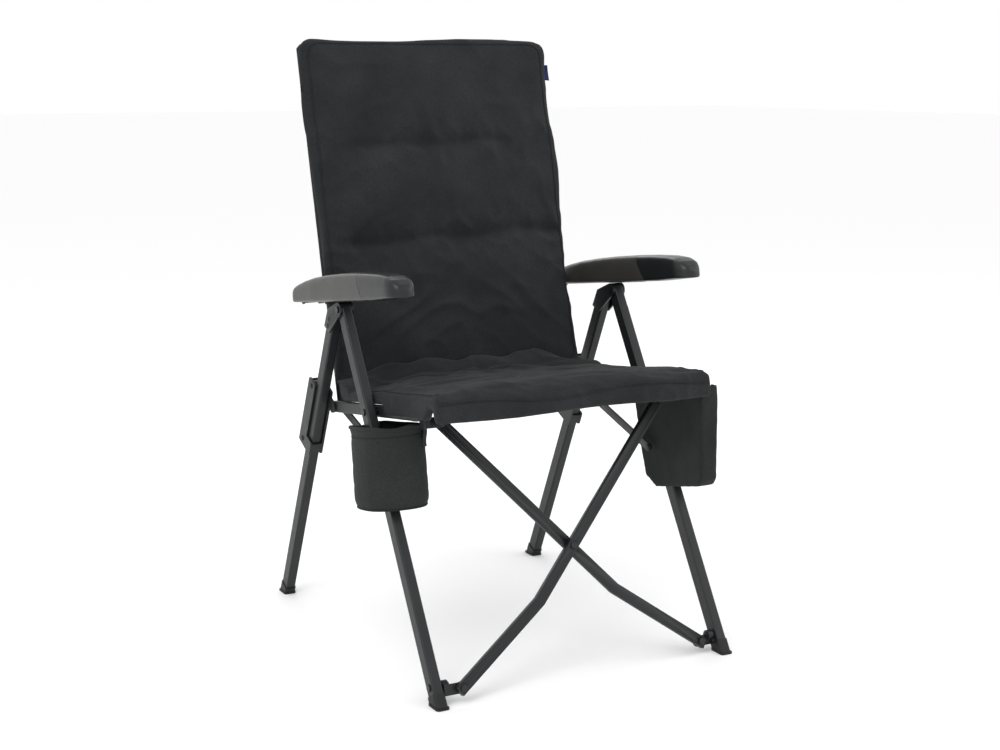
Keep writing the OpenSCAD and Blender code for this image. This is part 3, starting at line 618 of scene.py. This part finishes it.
def arm_point(u, v):
    """A point of the armrest's closed skin: u goes once round the section, v from the tail to the nose."""
    tail, nose = ARM_TOP[0][0], ARM_TOP[-1][0]
    y = tail + (nose - tail) * (0.5 - 0.5 * cos(pi * v))
    half = 0.0268 * (1 - 0.16 * max(0.0, min(1.0, (y + 0.110) / 0.14)))
    half *= max(0.0, 1 - max(0.0, 1 - (y - nose) / 0.040) ** 2.6) ** (1 / 2.6)
    half *= max(0.0, 1 - max(0.0, 1 - (tail - y) / 0.034) ** 2.4) ** (1 / 2.4)
    top = along(ARM_TOP, y)
    foot = ARM_LOW + 0.004 * max(0.0, min(1.0, (-y - 0.405) / 0.09))
    c, d = cos(2 * pi * u), sin(2 * pi * u)
    x = half * (1 if c >= 0 else -1) * abs(c) ** (2 / 4.6)
    middle = foot + 0.35 * (top - foot)
    if d >= 0:
        z = middle + (top - middle) * d ** (2 / 2.9)
    else:
        z = middle - (middle - foot) * abs(d) ** (2 / 7)
    return Vector((x, y, z))


class CHAIR_OT_armrests(bpy.types.Operator):
    """Moulded armrests: a warm grey shell with a dark gloss cap over its front end"""
    bl_idname = "chair.armrests"
    bl_label = "Armrests"

    def execute(self, context):
        slope = -sizes().arm_slope
        seam = Vector((0, -0.327, 0.0476))
        flat = Vector((0, cos(radians(34)), -sin(radians(34))))
        for side in SIDES:
            at = pivot("arm_turn_" + side)
            lo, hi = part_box("armrest_" + side)
            middle = Vector(((lo[0] + hi[0]) / 2, at[1], at[2]))
            place = Matrix.Translation(middle) @ Matrix.Rotation(slope, 4, "X")
            for part, key, slot in (("shell", "arm", "grey_plastic"), ("nose", "cap", "dark_gloss")):
                deselect()
                bpy.ops.mesh.primitive_grid_add(x_subdivisions=72, y_subdivisions=110, size=1)
                obj = named("armrest_%s_%s" % (part, side))
                move_points(obj, lambda p: arm_point(p[0] + 0.5, p[1] + 0.5))
                in_edit(obj)
                bpy.ops.mesh.remove_doubles(threshold=0.00012)
                bpy.ops.mesh.select_all(action="SELECT")
                if part == "shell":
                    bpy.ops.mesh.bisect(plane_co=seam + flat * 0.0005, plane_no=flat,
                                        clear_inner=True, use_fill=True)
                else:
                    bpy.ops.mesh.bisect(plane_co=seam - flat * 0.0005, plane_no=flat,
                                        clear_outer=True, use_fill=True)
                out_of_edit()
                outward(obj)
                obj.data.transform(place)
                smooth(obj, 42)
                dress(obj, key)
                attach(obj, "armrest_" + side)
                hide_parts("armrest_" + side if part == "shell" else "armrest_cap_" + side)
        return {"FINISHED"}


# ---------------------------------------------------------------- back

def smoothstep(t):
    t = max(0.0, min(1.0, t))
    return t * t * (3 - 2 * t)


class CHAIR_OT_back(bpy.types.Operator):
    """Padded back with two sewn creases, piped edge and side sleeves over the poles"""
    bl_idname = "chair.back"
    bl_label = "Back pad"

    def execute(self, context):
        s = sizes()
        here = Matrix.Translation(Vector((0, pivot("back_turn_left")[1], pivot("back_turn_left")[2]))) \
            @ Matrix.Rotation(-s.back_lean, 4, "X")
        back = here.inverted()
        low_corner, high_corner = extent("back_pad", back)
        half, front, rear = high_corner[0], low_corner[1], high_corner[1]
        low, high = low_corner[2], high_corner[2]
        pad = block("back_cushion", low_corner, high_corner, 0.030)
        remeshed(pad, s.voxel, 4)
        creases = []
        for height, x0, x1, tilt in ((s.tuft_high, -0.16, 0.13, 0.02), (s.tuft_low, -0.20, 0.24, 0.03)):
            z = (height - here.translation[2]) / cos(s.back_lean)
            creases.append((z, x0, x1, tilt))

        def crease(p):
            """How deep a sewn crease pulls here, from 0 to 1."""
            best = 0.0
            for z, x0, x1, tilt in creases:
                line = z + tilt * p[0] + 0.004 * sin(p[0] * 31 + z * 9)
                side = max(x0 - p[0], p[0] - x1, 0)
                across = abs(p[2] - line)
                best = max(best, exp(-(across / 0.0115) ** 2) * exp(-(side / 0.03) ** 2))
            return best

        def shape(p):
            if p[1] > rear - 0.008:
                return p
            edge = min(half - abs(p[0]), high - p[2], (p[2] - low) * 2.5)
            crown = sqrt(max(0.0, 1 - (1 - min(1.0, max(0.0, edge) / 0.085)) ** 2))
            depth = (rear - p[1]) / (rear - front)
            p[1] = rear - (rear - p[1]) * (0.62 + 0.38 * crown)
            p[1] += depth * s.tuft_depth * crease(p)
            return p

        move_points(pad, shape)

        def pinned(p):
            if p[1] > rear - 0.010:
                return 1.0
            edge = min(half - abs(p[0]), high - p[2], p[2] - low)
            if edge < 0.012:
                return 1.0
            return 1.0 if crease(p) > 0.72 else 0.0

        swell(pad, pinned, s.back_crown, 2.4)

        def crumple(p):
            if p[1] > rear - 0.008:
                return p
            fold = 0.0040 * bump_of(p, 7, 3.1) + 0.0016 * bump_of(p, 24, 7.7) - 0.0034 * crinkle(p, 11, 2.0)
            low_fold = crinkle((p[0] * 0.5, p[1], p[2] + 0.6 * abs(p[0])), 16, 5.0)
            fold -= 0.0085 * exp(-((p[2] - 0.19) / 0.07) ** 2) * low_fold
            for z, x0, x1, tilt in creases:
                d = p[2] - (z + tilt * p[0])
                reach = exp(-(d / 0.055) ** 2)
                fade = exp(-(max(x0 - p[0], p[0] - x1, 0) / 0.05) ** 2)
                spread = sin(p[0] * 95 + 2.2 * sin(p[0] * 23) + d * 22) * fade
                pinch = crinkle((p[0], p[1], p[2] * 0.6), 30, z * 10)
                fold += 0.0020 * reach * spread - 0.0055 * reach * pinch
            p[1] += fold
            p[0] += 0.0028 * sin(p[2] * 17 + 1.0) * (p[0] / half) ** 6
            p[0] *= 1 + 0.022 * smoothstep((p[2] - 0.36) / 0.10)
            p[2] += 0.0035 * sin(p[0] * 13) * smoothstep((p[2] - high + 0.06) / 0.06)
            return p

        move_points(pad, crumple)
        pad.data.transform(here)
        with_modifier(pad, "SUBSURF", levels=1, render_levels=1)
        outward(pad)
        smooth(pad, 180)
        dress(pad, "cloth")
        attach(pad, "pole_left")
        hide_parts("back_pad")
        toward = here.to_3x3() @ Vector((0, 1, 0))
        inset = 0.011
        loop = rounded_loop(-half + inset, half - inset, low + 0.03, high - inset, 0.026, 0.008)
        flat = [here @ Vector((x, front - 0.02, z)) for x, z in loop]
        seam = onto(pad, flat, toward, 0.0006)
        cordon = piping("back_piping", seam, s.piping)
        dress(cordon, "piping")
        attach(cordon, "pole_left")
        for piece in (pad, cordon):
            squeezed(piece)
        self.sleeves(here, high)
        return {"FINISHED"}

    def sleeves(self, here, high):
        """The cloth sleeves that run up the back's sides over the two poles."""
        rings = 60
        for side, sign in SIDES.items():
            lo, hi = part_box("back_pole_" + side)
            x = (lo[0] + hi[0]) / 2
            deselect()
            bpy.ops.mesh.primitive_cylinder_add(vertices=40, radius=0.0112, depth=1, end_fill_type="NOTHING")
            obj = named("back_sleeve_" + side)
            in_edit(obj)
            for i in range(1, rings):
                bpy.ops.mesh.select_all(action="SELECT")
                bpy.ops.mesh.bisect(plane_co=(0, 0, -0.5 + i / rings), plane_no=(0, 0, 1))
            out_of_edit()
            bottom, top = 0.262, high - 0.004

            def shape(p):
                z = bottom + (top - bottom) * (p[2] + 0.5)
                r = 1 + 0.03 * bump_of((p[0] * 4, p[1] * 4, z), 30, 5.0 + sign)
                r *= min(1, (top - z) / 0.012 + 0.35)
                return Vector((x + p[0] * r, 0.0240 + p[1] * r, z))

            move_points(obj, shape)
            obj.data.transform(here)
            in_edit(obj)
            bpy.ops.mesh.select_all(action="DESELECT")
            bpy.ops.mesh.select_non_manifold()
            bpy.ops.mesh.edge_face_add()
            out_of_edit()
            with_modifier(obj, "SOLIDIFY", thickness=0.0012, offset=-1)
            outward(obj)
            smooth(obj, 60)
            dress(obj, "cloth")
            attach(obj, "pole_" + side)


# ---------------------------------------------------------------- seat

class CHAIR_OT_seat(bpy.types.Operator):
    """Padded seat with a soft front edge, side piping and folds towards the back"""
    bl_idname = "chair.seat"
    bl_label = "Seat pad"

    def execute(self, context):
        s = sizes()
        at = pivot("rail_turn_left")
        here = Matrix.Translation(Vector((0, at[1], at[2]))) @ Matrix.Rotation(-s.rail_slope, 4, "X")
        away = here.inverted()
        pad = copy_of("seat_pad", "seat_cushion")
        remeshed(pad, s.voxel, 5)
        pad.data.transform(away)
        ys = [v.co[1] for v in pad.data.vertices]
        front, rear = min(ys), max(ys)
        half = (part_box("seat_pad")[1][0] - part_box("seat_pad")[0][0]) / 2
        top = 0.042
        low = 0.0125

        def shape(p):
            upper = smoothstep((p[2] - low) / (top - low))
            edge = half - abs(p[0])
            nose = p[1] - front
            crown = sqrt(max(0.0, 1 - (1 - min(1.0, max(0.0, min(edge, nose * 1.2)) / 0.075)) ** 2))
            if p[2] > low + 0.004 and p[1] < rear - 0.05:
                p[2] -= upper * 0.013 * (1 - crown)
                dip = 0.010 * (1 - (p[0] / half) ** 2) * smoothstep((p[1] - front - 0.05) / 0.12)
                p[2] -= upper * dip
            if p[2] > top + 0.006:
                side = 1 - smoothstep((abs(p[0]) - 0.17) / 0.10)
                rise = p[2] - top
                p[2] = top + rise * (0.15 + 0.62 * side)
                p[1] += 0.010 * smoothstep(rise / 0.04)
            if p[1] < front + 0.030:
                p[2] += 0.0045 * sin(p[0] * 17 + 0.7) * (0.4 + 0.6 * upper)
                p[1] += 0.003 * sin(p[0] * 29)
            return p

        move_points(pad, shape)

        def pinned(p):
            if p[2] < low + 0.003 and p[1] > front + 0.04:
                return 1.0
            if half - abs(p[0]) < 0.010:
                return 1.0
            return 0.0

        swell(pad, pinned, s.seat_crown, 2.6)

        def crumple(p):
            upper = smoothstep((p[2] - low) / (top - low))
            wave = 0.0034 * bump_of(p, 8, 1.3) + 0.0018 * bump_of(p, 23, 9.2) + 0.0044 * crinkle(p, 10, 3.0)
            near = smoothstep((p[1] - rear + 0.16) / 0.13)
            ray = sin((p[0] * 34 + 3 * sin(p[0] * 9)) + (p[1] - rear) * 50 * (1 if p[0] > 0 else -1))
            p[2] += upper * (wave + 0.0042 * near * ray)
            if p[1] < front + 0.05:
                p[1] += 0.0030 * bump_of(p, 20, 4.4) - 0.0045 * crinkle(p, 18, 1.0)
            if half - abs(p[0]) < 0.02 and p[2] < low + 0.010 and front + 0.03 < p[1] < -0.030:
                p[2] -= 0.021 * smoothstep((-0.030 - p[1]) / 0.02) * smoothstep((p[1] - front - 0.03) / 0.03)
            return p

        move_points(pad, crumple)
        pad.data.transform(here)
        with_modifier(pad, "SUBSURF", levels=1, render_levels=1)
        outward(pad)
        smooth(pad, 180)
        dress(pad, "cloth")
        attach(pad, "rail_left")
        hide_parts("seat_pad")
        down = here.to_3x3() @ Vector((0, 0, -1))
        across = here.to_3x3() @ Vector((0, 1, 0))
        seams = []
        steps = 90
        wavy = [here @ Vector((-half + 0.006 + (2 * half - 0.012) * i / steps, front - 0.02,
                               0.017 + 0.0055 * sin(i / steps * 2 * half * 17 + 0.7)))
                for i in range(steps + 1)]
        seams.append(("seat_piping_front", onto(pad, wavy, across, 0.0003)))
        for side, sign in SIDES.items():
            run = [here @ Vector((sign * (half - 0.012), front + 0.012 + (rear - front - 0.07) * i / 50,
                                  0.08))
                   for i in range(51)]
            seams.append(("seat_piping_" + side, onto(pad, run, down, 0.0003)))
        for name, points in seams:
            cordon = piping(name, points, s.piping, closed=False)
            dress(cordon, "piping")
            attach(cordon, "rail_left")
            squeezed(cordon)
        squeezed(pad)
        return {"FINISHED"}


# ---------------------------------------------------------------- cup holder and pocket

def leg_corridor(front_lean):
    """The side-view frame of the front legs, with its zero where the foot swivel's pin crosses the leg."""
    at = pivot("foot_turn_left")
    return (Matrix.Translation(Vector((0, at[1], at[2]))) @ Matrix.Rotation(-front_lean, 4, "X")).inverted()


def cut_for_leg(obj, sign, width=0.0118, depth=0.0162):
    """Takes out the faces that the front leg passes through."""
    away = leg_corridor(sizes().front_lean)
    leg = abs((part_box("front_leg_left")[0][0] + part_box("front_leg_left")[1][0]) / 2)
    in_edit(obj)
    bpy.ops.mesh.select_all(action="DESELECT")
    out_of_edit()
    for f in obj.data.polygons:
        p = away @ f.center
        f.select = abs(p[0] - sign * leg) < width and abs(p[1]) < depth
    pick(obj)
    bpy.ops.object.mode_set(mode="EDIT")
    bpy.ops.mesh.select_mode(type="FACE")
    bpy.ops.mesh.delete(type="FACE")
    bpy.ops.mesh.select_mode(type="VERT")
    out_of_edit()


def oval(c, d, wide, long):
    """A point of the cup holder's round-cornered plan, from a point of the unit circle."""
    r = wide * 0.955
    return (r * c + (wide - r) * max(-1, min(1, 3 * c)), r * d + (long - r) * max(-1, min(1, 3 * d)))


class CHAIR_OT_cup_holder(bpy.types.Operator):
    """Soft round cup holder round the left front leg, with a bound rim, a webbing tab and a sewn bottom"""
    bl_idname = "chair.cup_holder"
    bl_label = "Cup holder"

    def execute(self, context):
        s = sizes()
        lo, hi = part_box("cup_holder")
        cx = (lo[0] + hi[0]) / 2
        wide = (hi[0] - lo[0]) / 2 - 0.0008
        tilt = radians(8)
        tall = 0.149
        long = 0.0742
        base_y = lo[1] + long * cos(tilt) + 0.0008
        foot = Vector((cx, base_y, lo[2] + long * sin(tilt)))
        here = Matrix.Translation(foot) @ Matrix.Rotation(-tilt, 4, "X")
        deselect()
        bpy.ops.mesh.primitive_cylinder_add(vertices=96, radius=1, depth=1, end_fill_type="TRIFAN")
        obj = named("cup_pouch")
        in_edit(obj)
        bpy.ops.mesh.select_all(action="DESELECT")
        out_of_edit()
        for f in obj.data.polygons:
            f.select = f.center[2] > 0.49
        pick(obj)
        bpy.ops.object.mode_set(mode="EDIT")
        bpy.ops.mesh.select_mode(type="FACE")
        bpy.ops.mesh.delete(type="FACE")
        bpy.ops.mesh.select_mode(type="VERT")
        for i in range(1, 24):
            bpy.ops.mesh.select_all(action="SELECT")
            bpy.ops.mesh.bisect(plane_co=(0, 0, -0.5 + i / 24), plane_no=(0, 0, 1))
        for i in range(-9, 10):
            bpy.ops.mesh.select_all(action="SELECT")
            bpy.ops.mesh.bisect(plane_co=(i / 10, 0, 0), plane_no=(1, 0, 0))
            bpy.ops.mesh.select_all(action="SELECT")
            bpy.ops.mesh.bisect(plane_co=(0, i / 10, 0), plane_no=(0, 1, 0))
        out_of_edit()

        def shape(p):
            t = p[2] + 0.5
            r = sqrt(p[0] ** 2 + p[1] ** 2)
            a = noise.noise(Vector((p[0] * 1.7, p[1] * 1.7, t * 1.1 + 4)))
            tight = 1 - 0.030 * exp(-((t - 0.90) / 0.05) ** 2) - 0.07 * exp(-(t / 0.07) ** 2) * r
            loose = tight + 0.034 * a * sin(pi * min(1, t * 1.05)) * r
            loose -= 0.020 * r * crinkle((p[0] * 0.6, p[1] * 0.6, t * 1.6), 2.2, 3.0) * sin(pi * t)
            x, y = oval(p[0], p[1], wide * loose, long * loose)
            z = tall * t
            if t > 0.5:
                z += 0.0022 * sin(5 * p[0]) * (t - 0.5) * 2
            if t < 0.01 and r < 0.99:
                z -= 0.004 * (1 - r * r)
            return Vector((x, y, max(z, 0.0005)))

        move_points(obj, shape)
        obj.data.transform(here)
        cut_for_leg(obj, -1)
        with_modifier(obj, "SOLIDIFY", thickness=s.cup_wall, offset=-1)
        outward(obj)
        smooth(obj, 50)
        dress(obj, "pocket_cloth")
        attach(obj, "front_leg_left")
        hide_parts("cup_holder")
        ring = [here @ Vector((*oval(cos(a), sin(a), wide * 0.985, long * 0.985),
                               tall + 0.0022 * sin(5 * cos(a))))
                for a in (2 * pi * i / 120 for i in range(120))]
        rim = piping("cup_rim", ring, 0.0034)
        dress(rim, "pocket_cloth")
        seam = [here @ Vector((*oval(cos(a), sin(a), wide * 0.972, long * 0.972), tall * 0.90))
                for a in (2 * pi * i / 120 for i in range(120))]
        hem = piping("cup_hem", seam, 0.0009)
        dress(hem, "piping")
        foot = [here @ Vector((*oval(cos(a), sin(a), wide * 0.930, long * 0.930), 0.0035))
                for a in (2 * pi * i / 120 for i in range(120))]
        base = piping("cup_base_seam", foot, 0.0020)
        dress(base, "piping")
        deselect()
        bpy.ops.mesh.primitive_cube_add(size=1, location=(0, 0, 0))
        tab = named("cup_tab")
        in_edit(tab)
        bpy.ops.mesh.subdivide(number_cuts=8)
        out_of_edit()
        turn = radians(-42)

        def tab_shape(p):
            a = turn + p[0] * 0.30
            z = tall * (0.86 + 0.24 * p[2])
            out = 0.0045 + 0.0022 * p[1] + 0.0015 * sin(p[2] * 5)
            return Vector((*oval(cos(a), sin(a), wide * 0.975 + out, long * 0.975 + out), z))

        move_points(tab, tab_shape)
        tab.data.transform(here)
        outward(tab)
        smooth(tab, 50)
        dress(tab, "webbing")
        for piece in (rim, hem, base, tab):
            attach(piece, "front_leg_left")
        for piece in (obj, rim, hem, base, tab):
            squeezed(piece)
        return {"FINISHED"}


class CHAIR_OT_pocket(bpy.types.Operator):
    """Hanging side pocket round the right front leg, with an open mouth and a sewn side seam"""
    bl_idname = "chair.pocket"
    bl_label = "Side pocket"

    def execute(self, context):
        s = sizes()
        obj = copy_of("side_pocket", "pocket_pouch")
        in_edit(obj)
        bpy.ops.mesh.convex_hull()
        out_of_edit()
        lo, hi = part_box("side_pocket")
        mid = (lo + hi) / 2
        move_points(obj, lambda p: mid + (p - mid) * 0.985)
        remeshed(obj, 0.005, 8)

        def belly(p):
            u = (p[1] - lo[1]) / (hi[1] - lo[1])
            v = (p[2] - lo[2]) / (hi[2] - lo[2])
            swell_here = sin(pi * max(0, min(1, u))) * sin(pi * max(0, min(1, 0.15 + v * 0.8)))
            if p[0] > mid[0]:
                p[0] += (0.004 * swell_here - 0.003 + 0.0026 * bump_of(p, 14, 6.0)
                         + 0.0012 * bump_of(p, 40, 2.0))
                p[0] = min(p[0], hi[0] + 0.003)
            p[1] += 0.0016 * bump_of(p, 16, 8.0)
            return p

        move_points(obj, belly)
        in_edit(obj)
        bpy.ops.mesh.select_all(action="DESELECT")
        out_of_edit()
        for f in obj.data.polygons:
            f.select = f.normal[2] > 0.55 and f.center[2] > lo[2] + 0.10
        pick(obj)
        bpy.ops.object.mode_set(mode="EDIT")
        bpy.ops.mesh.select_mode(type="FACE")
        bpy.ops.mesh.delete(type="FACE")
        bpy.ops.mesh.select_mode(type="VERT")
        out_of_edit()
        cut_for_leg(obj, 1, 0.0112, 0.0165)
        with_modifier(obj, "SOLIDIFY", thickness=0.0022, offset=-1)
        outward(obj)
        smooth(obj, 60)
        dress(obj, "pocket_cloth")
        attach(obj, "front_leg_right")
        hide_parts("side_pocket")
        away = leg_corridor(s.front_lean)
        line = []
        for i in range(40):
            t = i / 39
            line.append(away.inverted() @ Vector((hi[0] + 0.03, 0.0235, 0.375 + 0.15 * t)))
        seam = [p for p in onto(obj, line, Vector((-1, 0, 0)), 0.0002) if p[0] < hi[0] + 0.01]
        cordon = piping("pocket_seam", seam, 0.0017, closed=False)
        dress(cordon, "webbing")
        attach(cordon, "front_leg_right")
        for piece in (obj, cordon):
            squeezed(piece)
        return {"FINISHED"}


# ---------------------------------------------------------------- small sewn pieces

class CHAIR_OT_tabs(bpy.types.Operator):
    """The blank label in the back's right seam and the strap tip in its left seam"""
    bl_idname = "chair.tabs"
    bl_label = "Label and strap tip"

    def execute(self, context):
        s = sizes()
        here = Matrix.Translation(Vector((0, pivot("back_turn_left")[1], pivot("back_turn_left")[2]))) \
            @ Matrix.Rotation(-s.back_lean, 4, "X")
        half = (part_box("back_pad")[1][0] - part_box("back_pad")[0][0]) / 2
        for name, key, x, z, w, h, body in (
            ("blank_label", "label", half + 0.004, 0.672, 0.020, 0.034, "pole_left"),
            ("strap_tip", "piping", -half - 0.002, 0.640, 0.014, 0.011, "pole_left"),
        ):
            deselect()
            bpy.ops.mesh.primitive_cube_add(size=1, location=(0, 0, 0))
            obj = named(name)
            in_edit(obj)
            bpy.ops.mesh.subdivide(number_cuts=7)
            out_of_edit()

            def shape(p):
                curl = 0.0020 * sin(p[0] * 3 + p[2] * 2)
                return Vector((x + w * p[0], -0.004 + 0.0016 * p[1] + curl, z + h * p[2]))

            move_points(obj, shape)
            with_modifier(obj, "BEVEL", width=0.0004, segments=2, limit_method="ANGLE",
                          angle_limit=radians(60))
            obj.data.transform(here)
            outward(obj)
            smooth(obj, 50)
            dress(obj, key)
            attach(obj, body)
            if name == "blank_label":
                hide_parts("back_tabs")
            squeezed(obj)
        return {"FINISHED"}


# ---------------------------------------------------------------- panel and start

class CHAIR_PT_panel(bpy.types.Panel):
    """Buttons that build the chair's pieces"""
    bl_idname = "CHAIR_PT_panel"
    bl_label = "Folding camp chair"
    bl_space_type = "VIEW_3D"
    bl_region_type = "UI"
    bl_category = "Chair"

    def draw(self, context):
        for op in STEPS:
            self.layout.operator(op.bl_idname)
        for group in (context.scene.chair_sizes, context.scene.chair_colours):
            box = self.layout.box()
            for key in group.bl_rna.properties.keys():
                if key not in {"rna_type", "name"}:
                    box.prop(group, key)


STEPS = (CHAIR_OT_stage, CHAIR_OT_frame, CHAIR_OT_bars, CHAIR_OT_armrests, CHAIR_OT_back, CHAIR_OT_seat,
         CHAIR_OT_cup_holder, CHAIR_OT_pocket, CHAIR_OT_tabs)
CLASSES = (ChairSizes, ChairColours) + STEPS + (CHAIR_PT_panel,)


def register():
    for cls in CLASSES:
        bpy.utils.register_class(cls)
    bpy.types.Scene.chair_sizes = PointerProperty(type=ChairSizes)
    bpy.types.Scene.chair_colours = PointerProperty(type=ChairColours)


def unregister():
    del bpy.types.Scene.chair_sizes
    del bpy.types.Scene.chair_colours
    for cls in reversed(CLASSES):
        bpy.utils.unregister_class(cls)


def main():
    register()
    for op in STEPS:
        group, name = op.bl_idname.split(".")
        getattr(getattr(bpy.ops, group), name)()
    deselect()


if __name__ == "__main__":
    main()
